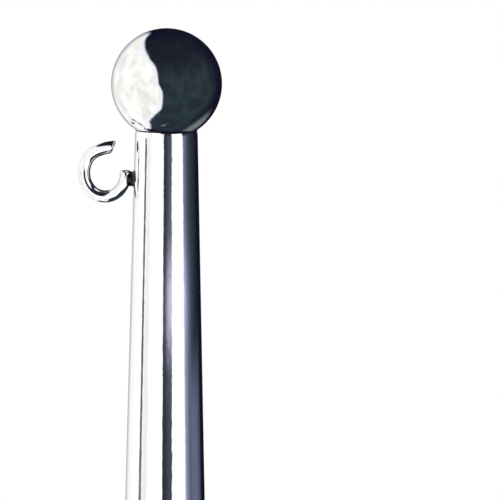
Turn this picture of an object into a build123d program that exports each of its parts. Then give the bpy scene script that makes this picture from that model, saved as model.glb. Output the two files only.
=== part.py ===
"""Ball-topped flagpole in polished stainless steel, standing on a bolted round flange.

A round flange carries a short welded socket. The parallel stem tube stands in the socket and is
clamped by two cap screws. A tapered head tube is butt-welded on the stem, and a hollow ball closes
its rounded rim. Two open ring hooks of bent round bar, each on a short round boss, hold the corners
of a flag. Both hooks point along -X. Units are millimetres, +Z is up, and the origin is the centre
of the flange's underside.
"""

import math
import os

from build123d import *

# Overall
overall_height = 800.0

# Ball
ball_diameter = 45.0
ball_wall = 1.5

# Tubes
head_top_diameter = 25.4
head_length = 175.0
stem_diameter = 33.7
tube_wall = 2.0
rim_round = 0.5
rim_land = 0.1

# Ring hooks
hook_bar_diameter = 5.0
hook_half_width = 8.54
hook_half_height = 9.6
hook_flank_radius = 10.75
hook_root_angle = 366.3
hook_nose_angle = 114.0
hook_nose_radius = 22.0
hook_nose_length = 7.3
hook_tip_slant = 24.0
hook_tip_round = 0.8
hook_root_round = 1.2
hook_standoff = 12.1
upper_hook_drop = 17.8
flag_hoist = 300.0

# Hook bosses
boss_diameter = 6.0
boss_drop = 2.2

# Foot
flange_diameter = 100.0
flange_thickness = 8.0
flange_edge = 1.5
bolt_circle_diameter = 76.0
bolt_hole_diameter = 9.0
bolt_count = 4
first_bolt_angle = 45.0
socket_diameter = 42.4
socket_height = 60.0
socket_clearance = 0.15
socket_edge = 1.2

# Clamp screws
screw_diameter = 6.0
screw_head_diameter = 10.0
screw_head_height = 6.0
screw_key_width = 5.0
screw_key_depth = 3.0
screw_head_edge = 0.5
screw_height_in_socket = 42.0
screw_angles = {"clamp_screw_right": 0.0, "clamp_screw_back": 90.0}

# Welds
ball_bead_radius = 0.45
seam_bead_height = 0.25
seam_bead_width = 2.4
boss_bead_leg = 0.8
socket_bead_leg = 3.5

# Worked out from the sizes above
ball_radius = ball_diameter / 2
head_top_radius = head_top_diameter / 2
stem_radius = stem_diameter / 2
rim_inner_radius = head_top_radius - tube_wall
seat_outer_radius = head_top_radius - rim_round - rim_land
seat_radius = (rim_inner_radius + seat_outer_radius) / 2
seat_drop = math.sqrt(ball_radius**2 - seat_radius**2)
seat_slope = seat_radius / seat_drop
ball_centre_height = overall_height - ball_radius
rim_height = ball_centre_height - seat_drop + seat_slope * (seat_outer_radius - seat_radius)
seat_depth = seat_slope * (seat_outer_radius - rim_inner_radius)
seam_height = rim_height - head_length
upper_hook_height = rim_height - upper_hook_drop
lower_hook_height = upper_hook_height - flag_hoist
hook_bar_radius = hook_bar_diameter / 2
flank_offset = hook_flank_radius - hook_half_width
hook_end_radius = (hook_flank_radius**2 - flank_offset**2 - hook_half_height**2) / (
    2 * (hook_flank_radius - hook_half_height)
)
end_offset = hook_half_height - hook_end_radius
flank_half_angle = math.degrees(math.atan2(end_offset, flank_offset))
socket_radius = socket_diameter / 2
screw_height = flange_thickness + screw_height_in_socket


def pole_radius(height):
    """Outer radius of the pole at a height: parallel up to the seam, then tapering to the rim."""
    if height <= seam_height:
        return stem_radius
    share = (height - seam_height) / head_length
    return stem_radius + (head_top_radius - stem_radius) * share


def turned(points):
    """Solid of revolution about the Z axis of a closed outline of (radius, height) points."""
    outline = Polyline([(radius, 0, height) for radius, height in points], close=True)
    return revolve(make_face(outline), Axis.Z)


def round_bar(radius, start, length, direction):
    """Round bar of a radius that runs a length from a start point along a direction."""
    return extrude(Plane(origin=start, z_dir=direction) * Circle(radius), length)


def pole_core():
    """The space inside the pole's outer surface, which the pieces on it are cut back from."""
    return turned(
        [
            (0, flange_thickness),
            (stem_radius, flange_thickness),
            (stem_radius, seam_height),
            (head_top_radius, rim_height),
            (0, rim_height),
        ]
    )


def base_flange():
    """Round plate with a broken upper edge and a circle of bolt holes."""
    plate = Pos(0, 0, flange_thickness / 2) * Cylinder(flange_diameter / 2, flange_thickness)
    plate = chamfer(plate.edges().group_by(Axis.Z)[-1], flange_edge)
    hole = Cylinder(bolt_hole_diameter / 2, 3 * flange_thickness)
    for index in range(bolt_count):
        angle = first_bolt_angle + index * 360 / bolt_count
        plate -= Rot(0, 0, angle) * Pos(bolt_circle_diameter / 2, 0, 0) * hole
    return plate


def base_socket():
    """Sleeve round the foot of the stem, drilled for the clamp screws."""
    bore_radius = stem_radius + socket_clearance
    sleeve = turned(
        [
            (bore_radius, flange_thickness),
            (socket_radius, flange_thickness),
            (socket_radius, flange_thickness + socket_height - socket_edge),
            (socket_radius - socket_edge, flange_thickness + socket_height),
            (bore_radius, flange_thickness + socket_height),
        ]
    )
    for angle in screw_angles.values():
        drill = round_bar(screw_diameter / 2, (0, 0, screw_height), socket_diameter, (1, 0, 0))
        sleeve -= Rot(0, 0, angle) * drill
    return sleeve


def socket_weld():
    """Fillet weld round the foot of the socket."""
    return turned(
        [
            (socket_radius, flange_thickness),
            (socket_radius + socket_bead_leg, flange_thickness),
            (socket_radius, flange_thickness + socket_bead_leg),
        ]
    )


def clamp_screw(angle):
    """Cap screw through the socket wall, its point against the stem and its key hole outwards."""
    head_start = socket_radius
    shank = round_bar(
        screw_diameter / 2, (stem_radius, 0, screw_height), head_start - stem_radius, (1, 0, 0)
    )
    head = round_bar(
        screw_head_diameter / 2, (head_start, 0, screw_height), screw_head_height, (1, 0, 0)
    )
    head = chamfer(head.edges().group_by(Axis.X)[-1], screw_head_edge)
    key_plane = Plane(
        origin=(head_start + screw_head_height, 0, screw_height), z_dir=(-1, 0, 0)
    )
    key_hole = extrude(
        key_plane * RegularPolygon(screw_key_width / 2, 6, major_radius=False), screw_key_depth
    )
    return Rot(0, 0, angle) * (shank + head - key_hole)


def stem_tube():
    """Parallel tube from the flange up to the seam."""
    inner = stem_radius - tube_wall
    return turned(
        [
            (inner, flange_thickness),
            (stem_radius, flange_thickness),
            (stem_radius, seam_height),
            (inner, seam_height),
        ]
    )


def head_tube():
    """Tapered tube from the seam up to the rim, rounded outside and countersunk for the ball."""
    inner = stem_radius - tube_wall
    tube = turned(
        [
            (inner, seam_height),
            (stem_radius, seam_height),
            (head_top_radius, rim_height),
            (seat_outer_radius, rim_height),
            (rim_inner_radius, rim_height - seat_depth),
        ]
    )
    rim_edges = tube.edges().group_by(Axis.Z)[-1]
    outer_edge = rim_edges.sort_by(lambda edge: edge.length)[-1]
    return fillet(outer_edge, rim_round)


def stem_seam():
    """Low ground bead over the butt weld between the stem and the head tube."""
    half_width = seam_bead_width / 2
    bead_radius = (half_width**2 + seam_bead_height**2) / (2 * seam_bead_height)
    centre_radius = stem_radius + seam_bead_height - bead_radius
    disc = Pos(centre_radius, 0, seam_height) * Rot(90, 0, 0) * Circle(bead_radius)
    window = Pos(stem_radius, 0, seam_height) * Rot(90, 0, 0) * Rectangle(
        2 * half_width, 2 * half_width
    )
    return revolve(disc & window, Axis.Z) - pole_core()


def ball_finial():
    """Hollow ball that rests in the countersunk rim of the head tube."""
    shell = Sphere(ball_radius) - Sphere(ball_radius - ball_wall)
    return Pos(0, 0, ball_centre_height) * shell


def ball_weld(head):
    """Thin bead in the groove between the ball and the rounded rim."""
    bead = Pos(0, 0, rim_height) * Torus(head_top_radius - rim_round, ball_bead_radius)
    ball = Pos(0, 0, ball_centre_height) * Sphere(ball_radius)
    inside = Pos(0, 0, rim_height) * Cylinder(seat_outer_radius, ball_diameter)
    return bead - ball - head - inside


def hook_centre(height):
    """Middle of a hook's ring, which stands off the pole's surface at the hook's height."""
    return Vector(-pole_radius(height) - hook_standoff, 0, height)


def turned_from_x(angle):
    """Unit vector at an angle from the X direction of a hook's own plane."""
    return Vector(1, 0, 0).rotate(Axis.Z, angle)


def hook_bar(height):
    """Bent bar of a ring hook: an upright oval that eases into a flatter nose, open to the pole.

    The oval is bent from two flanks and two tighter ends. The bar is swept a little past its tip
    and cut there at a slant, so that its upper side is the longer one. Both ends are rounded.
    """
    ring_plane = Plane(origin=hook_centre(height), x_dir=(1, 0, 0), z_dir=(0, -1, 0))
    top_middle = Vector(0, end_offset, 0)
    nose_middle = top_middle + turned_from_x(hook_nose_angle) * (hook_end_radius - hook_nose_radius)
    tip_angle = hook_nose_angle - math.degrees(hook_nose_length / hook_nose_radius)
    swept_from = tip_angle - math.degrees(hook_bar_radius / hook_nose_radius)
    bends = [
        (nose_middle, hook_nose_radius, swept_from, hook_nose_angle),
        (top_middle, hook_end_radius, hook_nose_angle, 180 - flank_half_angle),
        (Vector(flank_offset, 0, 0), hook_flank_radius, 180 - flank_half_angle, 180 + flank_half_angle),
        (-top_middle, hook_end_radius, 180 + flank_half_angle, 360 - flank_half_angle),
        (Vector(-flank_offset, 0, 0), hook_flank_radius, 360 - flank_half_angle, hook_root_angle),
    ]
    arcs = [CenterArc(middle, radius, start, end - start) for middle, radius, start, end in bends]
    path = ring_plane * Wire([arc.edge() for arc in arcs])
    section = Plane(origin=path @ 0, z_dir=path % 0) * Circle(hook_bar_radius)
    bar = sweep(section, path=path)
    tip = nose_middle + turned_from_x(tip_angle) * hook_nose_radius
    cut_way = turned_from_x(tip_angle - 90 - hook_tip_slant)
    cut = Plane(
        origin=ring_plane.from_local_coords(tip),
        z_dir=ring_plane.from_local_coords(cut_way) - ring_plane.origin,
    )
    bar -= extrude(cut * Circle(hook_bar_diameter), hook_bar_diameter)
    root_face = bar.faces().sort_by_distance(path @ 1)[0]
    bar = fillet(root_face.edges(), hook_root_round)
    tip_face = bar.faces().sort_by_distance(cut.origin)[0]
    return fillet(tip_face.edges(), hook_tip_round)


def boss_bar(height):
    """Full round bar of a hook's boss, from the pole's axis out to the middle of the hook's bar."""
    centre = hook_centre(height)
    reach = -centre.X - hook_half_width
    return round_bar(boss_diameter / 2, (0, 0, height - boss_drop), reach, (-1, 0, 0))


def hook_boss(height, hook):
    """Short round boss between the pole's surface and the hook's bar, coped to both."""
    return boss_bar(height) - pole_core() - hook


def hook_weld(height):
    """Cone of weld metal round the root of a boss."""
    boss_height = height - boss_drop
    surface = pole_radius(boss_height)
    boss_radius = boss_diameter / 2
    wide_end = Plane(origin=(-surface + boss_bead_leg, 0, boss_height), z_dir=(-1, 0, 0))
    narrow_end = Plane(origin=(-surface - boss_bead_leg, 0, boss_height), z_dir=(-1, 0, 0))
    cone = loft([wide_end * Circle(boss_radius + 2 * boss_bead_leg), narrow_end * Circle(boss_radius)])
    return cone - boss_bar(height) - pole_core()


head = head_tube()
pieces = {
    "base_flange": base_flange(),
    "base_socket": base_socket(),
    "socket_weld": socket_weld(),
    "stem_tube": stem_tube(),
    "stem_seam": stem_seam(),
    "head_tube": head,
    "ball_weld": ball_weld(head),
    "ball_finial": ball_finial(),
}
for name, angle in screw_angles.items():
    pieces[name] = clamp_screw(angle)
for place, height in (("upper", upper_hook_height), ("lower", lower_hook_height)):
    hook = hook_bar(height)
    pieces[f"{place}_hook"] = hook
    pieces[f"{place}_hook_boss"] = hook_boss(height, hook)
    pieces[f"{place}_hook_weld"] = hook_weld(height)

os.makedirs("parts", exist_ok=True)
for name, solid in pieces.items():
    export_step(solid, f"parts/{name}.step")
    print(name, round(solid.volume, 2))
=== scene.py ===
import math

import bmesh
import bpy
from mathutils import Matrix, Vector


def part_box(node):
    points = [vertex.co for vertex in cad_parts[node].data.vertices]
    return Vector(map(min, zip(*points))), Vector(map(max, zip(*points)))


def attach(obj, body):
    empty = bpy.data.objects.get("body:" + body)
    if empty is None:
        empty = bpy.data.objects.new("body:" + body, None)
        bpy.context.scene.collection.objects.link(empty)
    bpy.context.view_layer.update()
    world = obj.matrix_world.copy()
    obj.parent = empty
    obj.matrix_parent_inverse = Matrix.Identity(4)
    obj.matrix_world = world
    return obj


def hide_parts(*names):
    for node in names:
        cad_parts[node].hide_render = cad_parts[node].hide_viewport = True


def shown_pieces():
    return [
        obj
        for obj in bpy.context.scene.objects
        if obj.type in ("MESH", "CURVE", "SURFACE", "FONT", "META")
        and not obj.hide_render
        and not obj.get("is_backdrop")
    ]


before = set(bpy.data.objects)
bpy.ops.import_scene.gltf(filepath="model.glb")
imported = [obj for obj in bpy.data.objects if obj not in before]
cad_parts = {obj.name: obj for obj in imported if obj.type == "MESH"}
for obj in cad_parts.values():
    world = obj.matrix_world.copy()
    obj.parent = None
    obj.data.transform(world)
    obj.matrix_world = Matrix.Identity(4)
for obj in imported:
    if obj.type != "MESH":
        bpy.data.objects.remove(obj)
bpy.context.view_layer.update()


# The foot flange is a round plate of stainless steel, faced on a lathe and broken at its edges.
# Four bolts go down through its holes into a deck or a footing.
MM = 0.001
flange_low, flange_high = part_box("base_flange")
flange_radius = flange_high.x
flange_top = flange_high.z
flange_chamfer = 1.5 * MM
flange_edge = 0.25 * MM
bolt_circle_radius = 38.0 * MM
bolt_hole_radius = 4.5 * MM
bolt_hole_reach = 3 * flange_top
bolt_count = 4
first_bolt_angle = math.radians(45.0)
same_place = 0.001 * MM


def take(piece):
    """Makes a piece the only selected object and the active one."""
    bpy.ops.object.select_all(action="DESELECT")
    piece.select_set(True)
    bpy.context.view_layer.objects.active = piece


def start_piece(name):
    """Names the primitive just added and puts its place and turn into its mesh."""
    piece = bpy.context.object
    piece.name = name
    piece.data.name = name
    bpy.ops.object.transform_apply(location=True, rotation=True, scale=True)
    return piece


def pick(piece, kind, wanted):
    """In edit mode, selects only the verts, edges or faces whose middle passes a test."""
    bpy.ops.mesh.select_mode(type=kind)
    bpy.ops.mesh.select_all(action="DESELECT")
    form = bmesh.from_edit_mesh(piece.data)
    if kind == "VERT":
        chosen = [vert for vert in form.verts if wanted(vert.co)]
    elif kind == "EDGE":
        chosen = [edge for edge in form.edges if wanted((edge.verts[0].co + edge.verts[1].co) / 2)]
    else:
        chosen = [face for face in form.faces if wanted(face.calc_center_median())]
    for part in chosen:
        part.select_set(True)
    form.select_flush_mode()
    bmesh.update_edit_mesh(piece.data)


def turn(name, outline, steps=128, hollow=True):
    """Turns an outline of (radius, height) points about Z, ring by ring, as on a lathe.

    A hollow piece closes on its first ring, and a solid one has a flat face at both ends.
    """
    bpy.ops.object.select_all(action="DESELECT")
    (radius, height), *rest = outline
    fill = "NOTHING" if hollow else "NGON"
    bpy.ops.mesh.primitive_circle_add(
        vertices=steps, radius=radius, fill_type=fill, location=(0, 0, height)
    )
    piece = start_piece(name)
    bpy.ops.object.mode_set(mode="EDIT")
    bpy.ops.mesh.select_all(action="SELECT")
    if not hollow:
        pick(piece, "EDGE", lambda middle: True)
    for next_radius, next_height in rest + ([outline[0]] if hollow else []):
        grow = next_radius / radius
        bpy.ops.mesh.extrude_edges_move(
            TRANSFORM_OT_translate={"value": (0, 0, next_height - height)}
        )
        bpy.ops.transform.resize(value=(grow, grow, 1), center_override=(0, 0, next_height))
        radius, height = next_radius, next_height
    if not hollow:
        bpy.ops.mesh.edge_face_add()
    bpy.ops.mesh.select_all(action="SELECT")
    bpy.ops.mesh.remove_doubles(threshold=same_place)
    bpy.ops.mesh.normals_make_consistent(inside=False)
    bpy.ops.object.mode_set(mode="OBJECT")
    return piece


def apply_all(piece):
    """Applies every modifier on a piece, in order."""
    take(piece)
    for modifier in list(piece.modifiers):
        bpy.ops.object.modifier_apply(modifier=modifier.name)


def cutter(radius, depth, place, sides):
    """A rod that stands on Z, round or six-sided, to drill or broach a piece with."""
    bpy.ops.object.select_all(action="DESELECT")
    bpy.ops.mesh.primitive_cylinder_add(
        vertices=sides, radius=radius, depth=depth, location=place
    )
    return start_piece("cutter")


def cut_with(piece, tool):
    """Cuts a piece with a tool, which is used up."""
    cut = piece.modifiers.new("cut", "BOOLEAN")
    cut.operation = "DIFFERENCE"
    cut.solver = "EXACT"
    cut.object = tool
    apply_all(piece)
    bpy.data.objects.remove(tool)


def smooth(piece):
    """Shades a piece smooth, with its larger faces kept true."""
    for face in piece.data.polygons:
        face.use_smooth = True
    weight = piece.modifiers.new("true faces", "WEIGHTED_NORMAL")
    weight.keep_sharp = True
    apply_all(piece)


def break_edges(piece, width, angle=30.0, segments=2):
    """Rounds the edges that are sharper than an angle, and keeps the faces between them true."""
    bevel = piece.modifiers.new("broken edges", "BEVEL")
    bevel.width = width
    bevel.segments = segments
    bevel.limit_method = "ANGLE"
    bevel.angle_limit = math.radians(angle)
    apply_all(piece)
    smooth(piece)


def dress(piece, material, slot, *nodes):
    """Gives a piece its finish, lets it ride on the pole and hides its nodes. The slot is not
    used.
    """
    piece.data.materials.clear()
    piece.data.materials.append(material)
    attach(piece, "root")
    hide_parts(*nodes)


def steel(name, colour, shine, haze, grain, wave, wave_size, grind=(1, 1, 1), grind_height=0.0):
    """Stainless steel: its colour, its best and its worst polish, and the run of its scratches.

    grain is the number of scratches in a metre along X, Y and Z. wave is the height in metres of
    the slow unevenness that bends reflections, and wave_size is how long one such wave is. grind
    is the number of marks in a metre that grinding has left under the polish, along X, Y and Z,
    and grind_height is their height.
    """
    material = bpy.data.materials.new(name)
    material.use_nodes = True
    nodes, links = material.node_tree.nodes, material.node_tree.links
    shader = nodes["Principled BSDF"]
    shader.inputs["Metallic"].default_value = 1.0
    place = nodes.new("ShaderNodeTexCoord").outputs["Object"]

    def marks(counts, detail, roughness=0.5):
        """A noise of marks, so many to a metre along X, Y and Z."""
        run = nodes.new("ShaderNodeMapping")
        run.inputs["Scale"].default_value = counts
        links.new(place, run.inputs["Vector"])
        noise = nodes.new("ShaderNodeTexNoise")
        noise.inputs["Scale"].default_value = 1.0
        noise.inputs["Detail"].default_value = detail
        noise.inputs["Roughness"].default_value = roughness
        links.new(run.outputs["Vector"], noise.inputs["Vector"])
        return noise.outputs["Fac"]

    def raise_by(height, pattern, under=None):
        """A bump whose pattern stands up by a height, on top of another bump if one is given."""
        bump = nodes.new("ShaderNodeBump")
        bump.inputs["Strength"].default_value = 1.0
        bump.inputs["Distance"].default_value = height
        links.new(pattern, bump.inputs["Height"])
        if under:
            links.new(under, bump.inputs["Normal"])
        return bump.outputs["Normal"]

    scratches = marks(grain, detail=5.0, roughness=0.65)
    polish = nodes.new("ShaderNodeMapRange")
    polish.inputs["From Min"].default_value = 0.45
    polish.inputs["From Max"].default_value = 0.75
    polish.inputs["To Min"].default_value = shine
    polish.inputs["To Max"].default_value = haze
    links.new(scratches, polish.inputs["Value"])
    links.new(polish.outputs["Result"], shader.inputs["Roughness"])

    tone = nodes.new("ShaderNodeValToRGB")
    dull = [0.93 * part for part in colour]
    tone.color_ramp.elements[0].position = 0.35
    tone.color_ramp.elements[0].color = (*dull, 1)
    tone.color_ramp.elements[1].position = 0.6
    tone.color_ramp.elements[1].color = (*colour, 1)
    links.new(scratches, tone.inputs["Fac"])
    links.new(tone.outputs["Color"], shader.inputs["Base Color"])

    swell = nodes.new("ShaderNodeTexNoise")
    swell.inputs["Scale"].default_value = 1 / wave_size
    swell.inputs["Detail"].default_value = 1.0
    links.new(place, swell.inputs["Vector"])
    surface = raise_by(wave, swell.outputs["Fac"])
    if grind_height:
        surface = raise_by(grind_height, marks(grind, detail=2.0), surface)
    links.new(surface, shader.inputs["Normal"])
    return material


turned_steel = steel(
    "turned_steel", colour=(0.80, 0.81, 0.82), shine=0.16, haze=0.34,
    grain=(900, 900, 900), wave=0.004 * MM, wave_size=8 * MM,
)
flange = turn(
    "foot_flange",
    [
        (flange_radius, flange_low.z),
        (flange_radius, flange_top - flange_chamfer),
        (flange_radius - flange_chamfer, flange_top),
    ],
    hollow=False,
)
for index in range(bolt_count):
    angle = first_bolt_angle + index * math.tau / bolt_count
    bolt_place = bolt_circle_radius * Vector((math.cos(angle), math.sin(angle), 0))
    cut_with(flange, cutter(bolt_hole_radius, bolt_hole_reach, bolt_place, sides=48))
break_edges(flange, flange_edge)
dress(flange, turned_steel, "foot_steel", "base_flange")


# The socket is a short sleeve of thick stainless tube that the pole stands in. It is bored to
# the pole's size, chamfered at its mouth, drilled for its clamp screws, and fillet-welded to the
# flange all round.
socket_low, socket_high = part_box("base_socket")
stem_low, stem_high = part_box("stem_tube")
screw_low, screw_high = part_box("clamp_screw_right")
socket_radius = socket_high.x
socket_chamfer = 1.2 * MM
socket_edge = 0.2 * MM
stem_radius = stem_high.x
socket_bore = stem_radius + 0.15 * MM
screw_radius = 3.0 * MM
screw_height = (screw_low.z + screw_high.z) / 2
screw_angles = {"right": 0.0, "back": math.pi / 2}
weld_leg = 3.5 * MM
weld_hollow_near = 0.28 * weld_leg
weld_hollow_far = 0.62 * weld_leg
weld_edge = 0.05 * MM
weld_steps = 360
ripple_steps = 4
ripple_height = 0.12 * MM


def point_out(piece, angle, height):
    """Lays a piece that stands on Z straight out from the pole, at an angle and a height."""
    take(piece)
    piece.rotation_euler = (0, math.pi / 2, angle)
    piece.location = (0, 0, height)
    bpy.ops.object.transform_apply(location=True, rotation=True, scale=True)


def ripple(piece, steps, every, height):
    """Raises every few cross-sections of a turned weld bead, as its frozen ripples stand."""
    take(piece)
    bpy.ops.object.mode_set(mode="EDIT")
    share = math.tau / steps
    pick(piece, "VERT", lambda place: round(math.atan2(place.y, place.x) / share) % every == 0)
    bpy.ops.transform.shrink_fatten(value=height)
    bpy.ops.object.mode_set(mode="OBJECT")


socket = turn(
    "foot_socket",
    [
        (socket_radius, socket_low.z),
        (socket_radius, socket_high.z - socket_chamfer),
        (socket_radius - socket_chamfer, socket_high.z),
        (socket_bore, socket_high.z),
        (socket_bore, socket_low.z),
    ],
    steps=144,
)
for angle in screw_angles.values():
    drill = cutter(screw_radius, socket_radius, (0, 0, socket_radius), sides=36)
    point_out(drill, angle, screw_height)
    cut_with(socket, drill)
break_edges(socket, socket_edge)
dress(socket, turned_steel, "foot_steel", "base_socket")

weld_metal = steel(
    "weld_metal", colour=(0.66, 0.64, 0.62), shine=0.22, haze=0.42,
    grain=(1500, 1500, 1500), wave=0.02 * MM, wave_size=1.5 * MM,
)
fillet_weld = turn(
    "socket_fillet_weld",
    [
        (socket_radius, flange_top),
        (socket_radius + weld_leg, flange_top),
        (socket_radius + weld_hollow_far, flange_top + weld_hollow_near),
        (socket_radius + weld_hollow_near, flange_top + weld_hollow_far),
        (socket_radius, flange_top + weld_leg),
    ],
    steps=weld_steps,
)
ripple(fillet_weld, weld_steps, ripple_steps, ripple_height)
break_edges(fillet_weld, weld_edge, angle=60)
dress(fillet_weld, weld_metal, "weld_metal", "socket_weld")


# Two cap screws clamp the pole in its socket. Each is cold-forged from stainless wire, with a
# knurled round head that is broached for a hexagon key, and bears on the stem with its flat end.
screw_head_radius = 5.0 * MM
screw_head_edge = 0.5 * MM
screw_edge = 0.08 * MM
screw_end = screw_high.x
key_width = 5.0 * MM
key_depth = 3.0 * MM
key_corner = key_width / 2 / math.cos(math.pi / 6)
knurl_count = 36
knurl_depth = 0.18 * MM
groove_share = 1 - knurl_depth / screw_head_radius
head_side = screw_head_radius - 0.1 * screw_head_edge
screw_steel = steel(
    "screw_steel", colour=(0.62, 0.63, 0.65), shine=0.24, haze=0.44,
    grain=(1200, 1200, 1200), wave=0.006 * MM, wave_size=3 * MM,
)


def in_groove(place):
    """Whether a place on a screw is in a groove of its head's knurl."""
    step = round(math.atan2(place.y, place.x) * knurl_count / math.pi)
    return math.hypot(place.x, place.y) > head_side and step % 2 == 0


for side, angle in screw_angles.items():
    screw = turn(
        "cap_screw_" + side,
        [
            (screw_radius, stem_radius),
            (screw_radius, socket_radius),
            (screw_head_radius, socket_radius),
            (screw_head_radius, screw_end - 2 * screw_head_edge),
            (screw_head_radius - screw_head_edge, screw_end),
        ],
        steps=2 * knurl_count,
        hollow=False,
    )
    take(screw)
    bpy.ops.object.mode_set(mode="EDIT")
    pick(screw, "VERT", in_groove)
    bpy.ops.transform.resize(value=(groove_share, groove_share, 1), center_override=(0, 0, 0))
    bpy.ops.object.mode_set(mode="OBJECT")
    cut_with(screw, cutter(key_corner, 2 * key_depth, (0, 0, screw_end), sides=6))
    break_edges(screw, screw_edge, angle=40, segments=1)
    point_out(screw, angle, screw_height)
    dress(screw, screw_steel, "screw_steel", "clamp_screw_" + side)


# The stem is a plain drawn tube of stainless steel, ground and polished along its length, with
# faint marks of the grinding left. It stands on the flange inside the socket and carries the
# tapered head.
tube_wall = 2.0 * MM
tube_edge = 0.1 * MM
tube_steps = 192
mirror_steel = steel(
    "mirror_steel", colour=(0.95, 0.94, 0.97), shine=0.035, haze=0.10,
    grain=(1600, 1600, 25), wave=0.004 * MM, wave_size=14 * MM,
    grind=(1100, 1100, 180), grind_height=0.013 * MM,
)
stem = turn(
    "stem",
    [
        (stem_radius, stem_low.z),
        (stem_radius, stem_high.z),
        (stem_radius - tube_wall, stem_high.z),
        (stem_radius - tube_wall, stem_low.z),
    ],
    steps=tube_steps,
)
break_edges(stem, tube_edge)
dress(stem, mirror_steel, "mirror_steel", "stem_tube")


# The butt weld between the stem and the head is run round once and dressed low, so that only a
# slight bead with flattened ripples stands above the tube.
seam_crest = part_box("stem_seam")[1].x - stem_radius
seam_dressed = 0.9 * seam_crest
seam_lower_face = 0.75 * seam_crest
seam_upper_face = 0.70 * seam_crest
seam_fall_to_head = 0.15 * seam_crest
seam_ripple = 0.1 * seam_crest
seam_root = stem_radius - tube_wall / 2
seam_height = stem_high.z
seam_half_width = 1.2 * MM
bead_edge = 0.03 * MM
seam = turn(
    "stem_seam_weld",
    [
        (seam_root, seam_height - seam_half_width),
        (stem_radius, seam_height - seam_half_width),
        (stem_radius + seam_lower_face, seam_height - seam_half_width / 2),
        (stem_radius + seam_dressed, seam_height),
        (stem_radius + seam_upper_face, seam_height + seam_half_width / 2),
        (stem_radius - seam_fall_to_head, seam_height + seam_half_width),
        (seam_root, seam_height + seam_half_width),
    ],
    steps=weld_steps,
)
ripple(seam, weld_steps, ripple_steps, seam_ripple)
break_edges(seam, bead_edge, angle=70)
dress(seam, weld_metal, "weld_metal", "stem_seam")


# The head is the same tube swaged to a long taper. Polishing has rounded its rim off softly, and
# the rim is countersunk inside, so that the ball sits down into it.
head_low, head_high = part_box("head_tube")
ball_low, ball_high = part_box("ball_finial")
ball_radius = (ball_high.x - ball_low.x) / 2
ball_height = (ball_high.z + ball_low.z) / 2
head_top_radius = 12.7 * MM
head_edge = 0.03 * MM
rim_height = head_high.z
rim_round_depth = 0.5 * MM
rim_round_height = 2.6 * MM
rim_round_steps = 10
rim_land = 0.1 * MM
rim_inner_radius = head_top_radius - tube_wall
seat_radius = head_top_radius - rim_round_depth - rim_land
seat_depth = (seat_radius - rim_inner_radius) * seat_radius / (ball_height - rim_height)


def pole_radius(height):
    """Outer radius of the tapered head at a height."""
    share = (height - head_low.z) / (rim_height - head_low.z)
    return stem_radius + (head_top_radius - stem_radius) * share


head_outline = [(stem_radius, head_low.z)]
for step in range(rim_round_steps + 1):
    angle = math.pi / 2 * step / rim_round_steps
    height = rim_height - rim_round_height * (1 - math.sin(angle))
    head_outline.append((pole_radius(height) - rim_round_depth * (1 - math.cos(angle)), height))
head_outline += [
    (seat_radius, rim_height),
    (rim_inner_radius, rim_height - seat_depth),
    (stem_radius - tube_wall, head_low.z),
]
head = turn("head", head_outline, steps=tube_steps)
break_edges(head, head_edge, angle=60)
dress(head, mirror_steel, "mirror_steel", "head_tube")


# The ball is a hollow shell of two pressed half-shells, welded together and polished to a mirror.
# It sits in the head's rim and is vented into the tube through a hole at its foot.
ball_wall = 1.5 * MM
vent_radius = 3.0 * MM
ball_steel = steel(
    "ball_steel", colour=(0.95, 0.95, 0.95), shine=0.05, haze=0.11,
    grain=(420, 420, 70), wave=0.004 * MM, wave_size=12 * MM,
)


def over_vent(place):
    """Whether a place on the ball is where the vent goes through."""
    return place.z < ball_height and math.hypot(place.x, place.y) < vent_radius


bpy.ops.object.select_all(action="DESELECT")
bpy.ops.mesh.primitive_uv_sphere_add(
    segments=160, ring_count=112, radius=ball_radius, location=(0, 0, ball_height)
)
ball = start_piece("ball")
bpy.ops.object.mode_set(mode="EDIT")
pick(ball, "FACE", over_vent)
bpy.ops.mesh.delete(type="FACE")
bpy.ops.object.mode_set(mode="OBJECT")
shell = ball.modifiers.new("pressed shell", "SOLIDIFY")
shell.thickness = ball_wall
shell.offset = -1.0
apply_all(ball)
for face in ball.data.polygons:
    face.use_smooth = True
dress(ball, ball_steel, "mirror_steel", "ball_finial")


# A thin weld closes the groove between the ball and the rim. It is dressed so low that only a
# fine line of it shows, painted near-black as painted shade in the groove.
groove_root = seat_radius - 0.1 * MM
groove_lip = seat_radius + 0.25 * MM
groove_crest = seat_radius + 0.36 * MM
groove_crest_height = rim_height + 0.05 * MM
rim_toe = rim_height - 0.12 * MM
ball_toe = rim_height + 0.5 * MM
ball_toe_rise = 0.01 * MM
groove_steps = 288
groove_ripple_steps = 3
groove_ripple = 0.02 * MM
# Near-black painted shade: it darkens the groove under the ball and the beads at the hooks'
# bosses.
shade_painted_weld = steel(
    "shade_painted_weld", colour=(0.06, 0.05, 0.05), shine=0.2, haze=0.4,
    grain=(900, 900, 900), wave=0.01 * MM, wave_size=1.5 * MM,
)


def ball_surface(height):
    """Radius of the ball at a height."""
    return math.sqrt(ball_radius**2 - (height - ball_height) ** 2)


groove_weld = turn(
    "ball_groove_weld",
    [
        (groove_root, rim_toe),
        (groove_lip, rim_toe),
        (groove_crest, groove_crest_height),
        (ball_surface(ball_toe) + ball_toe_rise, ball_toe),
        (groove_root, ball_toe),
    ],
    steps=groove_steps,
)
ripple(groove_weld, groove_steps, groove_ripple_steps, groove_ripple)
dress(groove_weld, shade_painted_weld, "weld_metal", "ball_weld")


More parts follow.
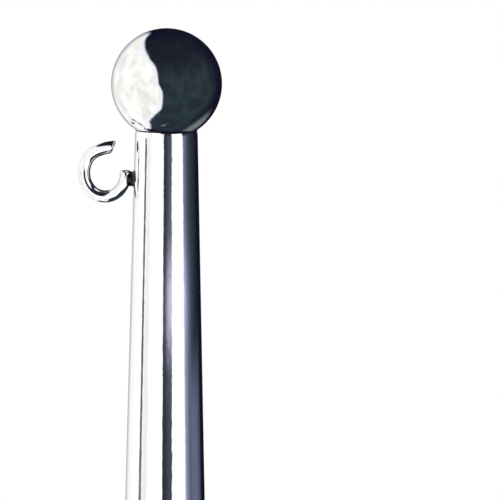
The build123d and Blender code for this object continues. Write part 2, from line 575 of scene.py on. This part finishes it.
# Each ring hook is a length of stainless round bar, bent to an upright oval with a flatter nose.
# It is sawn off at a slant at its tip, rounded at both ends, and welded to its boss at its root.
# The oval is four arcs that run into one another, two for its flanks and two for its ends.
bar_radius = 2.5 * MM
ring_half_width = 8.54 * MM
ring_half_height = 9.6 * MM
flank_radius = 10.75 * MM
flank_offset = flank_radius - ring_half_width
end_radius = (flank_radius**2 - flank_offset**2 - ring_half_height**2) / (
    2 * (flank_radius - ring_half_height)
)
end_offset = ring_half_height - end_radius
flank_angle = math.atan2(end_offset, flank_offset)
nose_radius = 22.0 * MM
nose_length = 7.3 * MM
nose_angle = math.radians(114.0)
root_angle = math.radians(366.3)
root_round = 1.2 * MM
tip_slant = math.radians(24.0)
tip_round = 0.8 * MM
saw_reach = 2.2 * bar_radius
near_middle = 0.3 * bar_radius
round_steps = 6
bend_step = 0.5 * MM
hook_steel = steel(
    "hook_steel", colour=(0.95, 0.94, 0.96), shine=0.04, haze=0.10,
    grain=(700, 700, 700), wave=0.001 * MM, wave_size=6 * MM,
)
sawn_steel = steel(
    "sawn_steel", colour=(0.95, 0.95, 0.95), shine=0.2, haze=0.35,
    grain=(2500, 2500, 400), wave=0.01 * MM, wave_size=1 * MM,
)


def outwards(angle):
    """The direction at an angle in the hooks' plane, from +X up towards +Z."""
    return Vector((math.cos(angle), 0, math.sin(angle)))


def round_off(end, along, depth):
    """Draws the end face of a bar out to its end in shrinking rings, which round its edge."""
    reach, width = 0.0, bar_radius
    for step in range(1, round_steps + 1):
        angle = math.pi / 2 * step / round_steps
        next_reach = depth * math.sin(angle)
        next_width = bar_radius - depth * (1 - math.cos(angle))
        bpy.ops.mesh.extrude_region_move(
            TRANSFORM_OT_translate={"value": (next_reach - reach) * along}
        )
        grow = next_width / width
        bpy.ops.transform.resize(
            value=(grow, grow, grow), center_override=end + (next_reach - depth) * along
        )
        reach, width = next_reach, next_width


def ring_hook(place, ring_centre):
    """Bends one hook's bar from its tip to its root, saws its tip and rounds its ends."""
    up_shift = Vector((0, 0, end_offset))
    side_shift = Vector((flank_offset, 0, 0))
    nose_middle = ring_centre + up_shift + (end_radius - nose_radius) * outwards(nose_angle)
    tip_angle = nose_angle - nose_length / nose_radius
    bar_start = tip_angle - bar_radius / nose_radius
    bpy.ops.object.select_all(action="DESELECT")
    bpy.ops.mesh.primitive_circle_add(
        vertices=48,
        radius=bar_radius,
        fill_type="NGON",
        location=nose_middle + nose_radius * outwards(bar_start),
        rotation=(0, math.pi - bar_start, 0),
    )
    hook = start_piece(place + "_ring_hook")
    bpy.ops.object.mode_set(mode="EDIT")
    bpy.ops.mesh.select_all(action="SELECT")
    angle = bar_start
    for middle, radius, until in (
        (nose_middle, nose_radius, nose_angle),
        (ring_centre + up_shift, end_radius, math.pi - flank_angle),
        (ring_centre + side_shift, flank_radius, math.pi + flank_angle),
        (ring_centre - up_shift, end_radius, math.tau - flank_angle),
        (ring_centre - side_shift, flank_radius, root_angle - root_round / flank_radius),
    ):
        steps = math.ceil((until - angle) * radius / bend_step)
        bpy.ops.mesh.spin(steps=steps, angle=until - angle, center=middle, axis=(0, 1, 0))
        angle = until
    along = outwards(angle + math.pi / 2)
    round_off(middle + radius * outwards(angle) + root_round * along, along, root_round)

    tip = nose_middle + nose_radius * outwards(tip_angle)
    along = outwards(tip_angle - math.pi / 2)
    cut_middle = tip - tip_round * along
    pick(hook, "FACE", lambda middle: (middle - cut_middle).length < saw_reach)
    bpy.ops.mesh.bisect(
        plane_co=cut_middle,
        plane_no=outwards(tip_angle - math.pi / 2 - tip_slant),
        use_fill=True,
        clear_outer=True,
    )
    pick(hook, "FACE", lambda middle: (middle - cut_middle).length < near_middle)
    round_off(tip, along, tip_round)
    bpy.ops.mesh.select_all(action="SELECT")
    bpy.ops.mesh.normals_make_consistent(inside=False)
    bpy.ops.object.mode_set(mode="OBJECT")
    smooth(hook)
    dress(hook, hook_steel, "hook_steel", place + "_hook")
    hook.data.materials.append(sawn_steel)
    for face in hook.data.polygons:
        if (face.center - tip).length < near_middle and face.area > bar_radius**2:
            face.material_index = 1


ring_centres = {}
for place in ("upper", "lower"):
    hook_low, hook_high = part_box(place + "_hook")
    ring_centres[place] = Vector(
        ((hook_low.x + hook_high.x) / 2, 0, hook_low.z + ring_half_height + bar_radius)
    )
    ring_hook(place, ring_centres[place])


# Each hook stands on a boss, a short stub of thicker round bar that is coped to the tube and to
# the hook's bar. It is welded to both, and it and the beads are painted near-black as painted
# shade.
boss_radius = 3.0 * MM
boss_edge = 0.25 * MM
boss_cope = 0.9 * MM
boss_sink = 0.6 * tube_wall
boss_steps = 96
boss_bead_leg = 0.8 * MM
boss_bead_hollow = 0.35 * boss_bead_leg
boss_bead_root = boss_radius - 0.4 * MM
boss_bead_ripple = 0.06 * MM
# Near-black painted shade: it darkens the bosses at the hooks' roots.
shade_painted_steel = steel(
    "shade_painted_steel", colour=(0.035, 0.032, 0.048), shine=0.14, haze=0.3,
    grain=(900, 900, 900), wave=0.01 * MM, wave_size=2 * MM,
)
for place, ring_centre in ring_centres.items():
    boss_low, boss_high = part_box(place + "_hook_boss")
    boss_height = (boss_low.z + boss_high.z) / 2
    surface = pole_radius(boss_height) if boss_height > head_low.z else stem_radius
    boss_end = -ring_centre.x - ring_half_width - boss_cope
    boss = turn(
        place + "_boss",
        [(boss_radius, surface - boss_sink), (boss_radius, boss_end)],
        steps=boss_steps,
        hollow=False,
    )
    break_edges(boss, boss_edge)
    point_out(boss, math.pi, boss_height)
    dress(boss, shade_painted_steel, "hook_steel", place + "_hook_boss")

    boss_weld = turn(
        place + "_boss_weld",
        [
            (boss_bead_root, surface - boss_bead_leg),
            (boss_radius + 2 * boss_bead_leg, surface - boss_bead_leg),
            (boss_radius + boss_bead_leg, surface),
            (boss_radius + boss_bead_hollow, surface + boss_bead_hollow),
            (boss_radius, surface + boss_bead_leg),
            (boss_bead_root, surface + boss_bead_leg),
        ],
        steps=boss_steps,
    )
    ripple(boss_weld, boss_steps, ripple_steps, boss_bead_ripple)
    break_edges(boss_weld, bead_edge, angle=70)
    point_out(boss_weld, math.pi, boss_height)
    dress(boss_weld, shade_painted_weld, "weld_metal", place + "_hook_weld")


# The pole stands on a wide studio floor of pale, matt paint, which takes its shadow. The steel
# mirrors the surroundings instead of it. The tubes are so bright that they would wash out the
# hooks and the ball, so these don't mirror them either.
bpy.ops.object.select_all(action="DESELECT")
bpy.ops.mesh.primitive_circle_add(vertices=96, radius=3.0, fill_type="NGON")
floor = start_piece("floor")
floor_paint = bpy.data.materials.new("floor_paint")
floor_paint.use_nodes = True
paint = floor_paint.node_tree.nodes["Principled BSDF"]
paint.inputs["Base Color"].default_value = (0.9, 0.9, 0.9, 1)
paint.inputs["Roughness"].default_value = 0.9
floor.data.materials.append(floor_paint)
for unmirrored in (floor, stem, head):
    unmirrored.visible_glossy = False
floor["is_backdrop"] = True


# The view is the photograph's, from the front right of the hooks and a little above them. The
# ball's place and size in the picture, in pixels, say where the camera stands.
view_azimuth = math.radians(7.0)
view_elevation = math.radians(6.5)
view_roll = math.radians(0.35)
picture_size = 500
ball_pixel = (166.6, 83.7)
ball_pixel_radius = 55.5
level = Vector((math.cos(view_azimuth), math.sin(view_azimuth), 0))
ahead = Vector((-level.y, level.x, 0))
back = math.sin(view_elevation) * Vector((0, 0, 1)) - math.cos(view_elevation) * ahead
upright = back.cross(level)
right = math.cos(view_roll) * level + math.sin(view_roll) * upright
up = math.cos(view_roll) * upright - math.sin(view_roll) * level
pixel = ball_radius / ball_pixel_radius
aim = (
    Vector((0, 0, ball_height))
    + (picture_size / 2 - ball_pixel[0]) * pixel * right
    - (picture_size / 2 - ball_pixel[1]) * pixel * up
)
camera_data = bpy.data.cameras.new("camera")
camera_data.lens = 300.0
camera_data.sensor_width = 36.0
camera_data.clip_end = 100.0
camera = bpy.data.objects.new("camera", camera_data)
bpy.context.scene.collection.objects.link(camera)
distance = picture_size * pixel * camera_data.lens / camera_data.sensor_width
camera.location = aim + distance * back
camera.rotation_euler = Matrix((right, up, back)).transposed().to_euler()
bpy.context.scene.camera = camera
bpy.context.scene.view_settings.view_transform = "Standard"


# The surroundings show only in the steel. They are bright and cloudy on the left and dark from
# the middle to the right, with a wavy edge between the two. All other rays see plain white.
cloud_cream = (0.90, 0.88, 0.83)
cloud_white = (1.08, 1.08, 1.06)
edge_white = (0.97, 0.975, 1.04)
back_grey = (0.36, 0.42, 0.46)
strip_grey = (0.13, 0.13, 0.14)
murk_blue = (0.020, 0.030, 0.042)
murk_green = (0.028, 0.046, 0.060)
overhead_dark = (0.010, 0.013, 0.022)
back_dark = (0.006, 0.006, 0.020)
glare_grey = (0.17, 0.20, 0.21)
strip_bearing = math.radians(78.0)
strip_side = math.radians(2.6)
strip_side_gone = math.radians(5.2)
strip_drop = 0.09
strip_end = 0.048
strip_end_gone = 0.06
glare_way = (0.41, 0.66, -0.63)
edge_softness = 0.035
world = bpy.data.worlds.new("studio")
bpy.context.scene.world = world
world.use_nodes = True
nodes, links = world.node_tree.nodes, world.node_tree.links
nodes.clear()


def math_node(operation, first, second=None, third=None):
    """Adds a Math node, with each input a number or another node's output."""
    node = nodes.new("ShaderNodeMath")
    node.operation = operation
    for socket_number, value in enumerate((first, second, third)):
        if value is None:
            continue
        if isinstance(value, (int, float)):
            node.inputs[socket_number].default_value = value
        else:
            links.new(value, node.inputs[socket_number])
    return node.outputs[0]


def ramp(value, start, end):
    """A smooth share from 0 to 1 as a value goes from start to end."""
    node = nodes.new("ShaderNodeMapRange")
    node.interpolation_type = "SMOOTHSTEP"
    node.inputs["From Min"].default_value = start
    node.inputs["From Max"].default_value = end
    links.new(value, node.inputs["Value"])
    return node.outputs["Result"]


def blend_colour(share, first, second):
    """Mixes two colours, each given as three numbers or as another node's output."""
    node = nodes.new("ShaderNodeMix")
    node.data_type = "RGBA"
    links.new(share, node.inputs["Factor"])
    for name, value in (("A", first), ("B", second)):
        if isinstance(value, tuple):
            node.inputs[name].default_value = (*value, 1)
        else:
            links.new(value, node.inputs[name])
    return node.outputs["Result"]


direction = nodes.new("ShaderNodeTexCoord")
swung = nodes.new("ShaderNodeVectorRotate")
swung.rotation_type = "Z_AXIS"
swung.inputs["Angle"].default_value = -view_azimuth
links.new(direction.outputs["Generated"], swung.inputs["Vector"])
parts = nodes.new("ShaderNodeSeparateXYZ")
links.new(swung.outputs["Vector"], parts.inputs["Vector"])
sideways, away, upward = parts.outputs
towards = math_node("MULTIPLY", away, -1.0)

# Each point of the edge is a tilt in degrees, from the camera's side up and over the pole, and
# how far to the left the edge lies there.
edge_points = [
    (-180, 0.10), (-102, 0.35), (-90, 0.41), (-74, 0.36), (-59, 0.25), (-46, 0.142),
    (-18, 0.12), (-5, 0.19), (5, 0.27), (20, 0.294), (36, 0.34), (50, 0.426), (68, 0.52),
    (90, 0.543), (112, 0.487), (133, 0.358), (148, 0.222), (180, 0.10),
]
tilt = math_node("ARCTAN2", upward, towards)
tilt_share = math_node("MULTIPLY_ADD", tilt, 1 / math.tau, 0.5)
edge = nodes.new("ShaderNodeFloatCurve")
curve = edge.mapping.curves[0]
while len(curve.points) < len(edge_points):
    curve.points.new(0.5, 0.5)
for point, (degrees, reach) in zip(curve.points, edge_points):
    point.location = (degrees / 360 + 0.5, reach)
edge.mapping.update()
links.new(tilt_share, edge.inputs["Value"])
past_edge = math_node("ADD", sideways, edge.outputs["Value"])

cloud = nodes.new("ShaderNodeTexNoise")
cloud.inputs["Scale"].default_value = 2.5
cloud.inputs["Detail"].default_value = 4.0
links.new(swung.outputs["Vector"], cloud.inputs["Vector"])
mottle = ramp(cloud.outputs["Fac"], start=0.35, end=0.6)
bright = blend_colour(mottle, cloud_cream, cloud_white)
bright = blend_colour(ramp(past_edge, start=-0.14, end=-0.08), bright, edge_white)
bright = blend_colour(ramp(away, start=0.72, end=0.99), bright, back_grey)

# A narrow strip on the left is dark, only at the height that the upright tubes mirror.
bearing = math_node("ARCTAN2", sideways, towards)
off_strip = math_node("ABSOLUTE", math_node("ADD", bearing, strip_bearing))
in_strip = math_node("SUBTRACT", 1.0, ramp(off_strip, strip_side, strip_side_gone))
off_level = math_node("ABSOLUTE", math_node("ADD", upward, strip_drop))
near_level = math_node("SUBTRACT", 1.0, ramp(off_level, strip_end, strip_end_gone))
bright = blend_colour(math_node("MULTIPLY", in_strip, near_level), bright, strip_grey)

murk = ramp(cloud.outputs["Fac"], start=0.4, end=0.62)
dark = blend_colour(murk, murk_blue, murk_green)
dark = blend_colour(ramp(upward, start=0.0, end=0.95), dark, overhead_dark)
dark = blend_colour(ramp(away, start=0.0, end=0.8), dark, back_dark)
near_glare = nodes.new("ShaderNodeVectorMath")
near_glare.operation = "DOT_PRODUCT"
near_glare.inputs[1].default_value = glare_way
links.new(swung.outputs["Vector"], near_glare.inputs[0])
glare = math_node("POWER", ramp(near_glare.outputs["Value"], start=0.93, end=1.0), 2.0)
dark = blend_colour(glare, dark, glare_grey)

mirrored = nodes.new("ShaderNodeBackground")
surroundings = blend_colour(ramp(past_edge, -edge_softness, edge_softness), bright, dark)
links.new(surroundings, mirrored.inputs["Color"])
plain = nodes.new("ShaderNodeBackground")
plain.inputs["Color"].default_value = (1, 1, 1, 1)
rays = nodes.new("ShaderNodeLightPath")
choose = nodes.new("ShaderNodeMixShader")
links.new(rays.outputs["Is Glossy Ray"], choose.inputs["Fac"])
links.new(plain.outputs["Background"], choose.inputs[1])
links.new(mirrored.outputs["Background"], choose.inputs[2])
output = nodes.new("ShaderNodeOutputWorld")
links.new(choose.outputs["Shader"], output.inputs["Surface"])


# A large softbox lights all but the ball, broad panels and graded glows give the tubes their
# stripes, small panels pick out the rings, and one more fills in the ball. Of the panels
# themselves only the mirror images show.
pole_middle = Vector((0, 0, 0.65))
glow_middle = Vector((0, 0, 0.3))
hook_middle = ring_centres["upper"]
hook_left = hook_middle - 0.11 * level


def is_tube(name):
    return name in ("head", "stem")


def is_hook(name):
    return "_ring_hook" in name


def is_ball(name):
    return name == "ball"


def is_not_ball(name):
    return name != "ball"


def lamp(name, middle, bearing, rise, distance, width, height, strength, lights):
    """A soft panel lamp that faces a point and lights only some of the pieces.

    Its bearing is counted from the camera's side round to the right, its rise from the level up.
    """
    data = bpy.data.lights.new(name, "AREA")
    data.shape = "RECTANGLE"
    data.size = width
    data.size_y = height
    data.energy = strength * math.pi * width * height
    panel = bpy.data.objects.new(name, data)
    bpy.context.scene.collection.objects.link(panel)
    side = math.radians(bearing)
    lift = math.radians(rise)
    way = math.cos(lift) * (math.sin(side) * level - math.cos(side) * ahead)
    way = way + Vector((0, 0, math.sin(lift)))
    panel.location = middle + distance * way
    panel.rotation_euler = way.to_track_quat("Z", "Y").to_euler()
    panel.visible_camera = False
    lit = bpy.data.collections.new("lit by the " + name)
    bpy.context.scene.collection.children.link(lit)
    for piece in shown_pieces():
        if lights(piece.name):
            lit.objects.link(piece)
    panel.light_linking.receiver_collection = lit
    return data


def grade(data, colour, across, upwards):
    """Grades a lamp's glow over its panel.

    Each list has places from 0 to 1 and the glow there, across the panel as the pole mirrors it
    from left to right, or upwards.
    """
    data.use_nodes = True
    nodes, links = data.node_tree.nodes, data.node_tree.links
    spot = nodes.new("ShaderNodeNewGeometry")
    axes = nodes.new("ShaderNodeSeparateXYZ")
    links.new(spot.outputs["Parametric"], axes.inputs["Vector"])
    glow = None
    for axis, stops in zip("XY", (across, upwards)):
        fade = nodes.new("ShaderNodeValToRGB")
        while len(fade.color_ramp.elements) < len(stops):
            fade.color_ramp.elements.new(0.5)
        for stop, (place, share) in zip(fade.color_ramp.elements, stops):
            stop.position = place
            stop.color = (share, share, share, 1)
        links.new(axes.outputs[axis], fade.inputs["Fac"])
        tint = nodes.new("ShaderNodeMix")
        tint.data_type = "RGBA"
        tint.blend_type = "MULTIPLY"
        tint.inputs["Factor"].default_value = 1.0
        links.new(fade.outputs["Color"], tint.inputs["A"])
        if glow:
            links.new(glow, tint.inputs["B"])
        else:
            tint.inputs["B"].default_value = (*colour, 1)
        glow = tint.outputs["Result"]
    links.new(glow, nodes["Emission"].inputs["Color"])


lamp(
    "softbox", pole_middle, bearing=42, rise=0, distance=2.0,
    width=1.535, height=2.5, strength=1.08, lights=is_not_ball,
)
lamp(
    "left panel", pole_middle, bearing=-30, rise=0, distance=2.0,
    width=1.65, height=2.5, strength=0.9, lights=is_tube,
)
lamp(
    "far left panel", pole_middle, bearing=-108, rise=0, distance=2.0,
    width=1.8, height=2.5, strength=0.14, lights=is_tube,
)
right_glow = lamp(
    "right glow", glow_middle, bearing=85.5, rise=0, distance=2.0,
    width=1.657, height=1.6, strength=1.0, lights=is_tube,
)
grade(
    right_glow,
    colour=(0.88, 0.90, 1.35),
    across=[(0.0, 0.87), (0.09, 0.53), (0.27, 0.28), (0.45, 0.12), (0.64, 0.04), (1.0, 0.0)],
    upwards=[
        (0.54, 0.62), (0.60, 0.66), (0.633, 1.0), (0.66, 0.6), (0.68, 0.35), (0.72, 0.36),
    ],
)
low_glow = lamp(
    "low glow", glow_middle, bearing=108, rise=0, distance=2.0,
    width=2.0, height=1.6, strength=1.0, lights=is_tube,
)
grade(
    low_glow,
    colour=(0.88, 0.92, 1.45),
    across=[(0.0, 0.0), (0.2, 0.8), (0.5, 1.0), (0.75, 0.6), (1.0, 0.0)],
    upwards=[(0.545, 0.13), (0.565, 0.11), (0.60, 0.0)],
)
stripe_glow = lamp(
    "stripe glow", glow_middle, bearing=7, rise=0, distance=2.0,
    width=1.0, height=1.6, strength=1.0, lights=is_tube,
)
grade(
    stripe_glow,
    colour=(1.0, 0.97, 1.2),
    across=[(0.0, 0.1), (0.25, 0.15), (0.45, 0.6), (0.6, 0.9), (1.0, 1.2)],
    upwards=[
        (0.54, 0.03), (0.578, 0.04), (0.606, 0.06), (0.622, 0.3), (0.635, 0.55), (0.65, 0.6),
        (0.68, 0.1), (0.72, 0.05),
    ],
)
lamp(
    "front panel", hook_middle, bearing=-12, rise=-28, distance=0.5,
    width=0.36, height=0.34, strength=1.0, lights=is_hook,
)
lamp(
    "brow panel", hook_middle, bearing=7, rise=-19, distance=0.5,
    width=0.29, height=0.19, strength=1.0, lights=is_hook,
)
lamp(
    "low panel", hook_left, bearing=0, rise=-78, distance=0.4,
    width=0.2, height=0.28, strength=1.0, lights=is_hook,
)
lamp(
    "kicker", hook_middle, bearing=170, rise=-9, distance=0.5,
    width=0.24, height=0.24, strength=1.1, lights=is_hook,
)
lamp(
    "ball fill", pole_middle, bearing=-78, rise=-1.4, distance=2.0,
    width=0.26, height=0.22, strength=0.82, lights=is_ball,
)
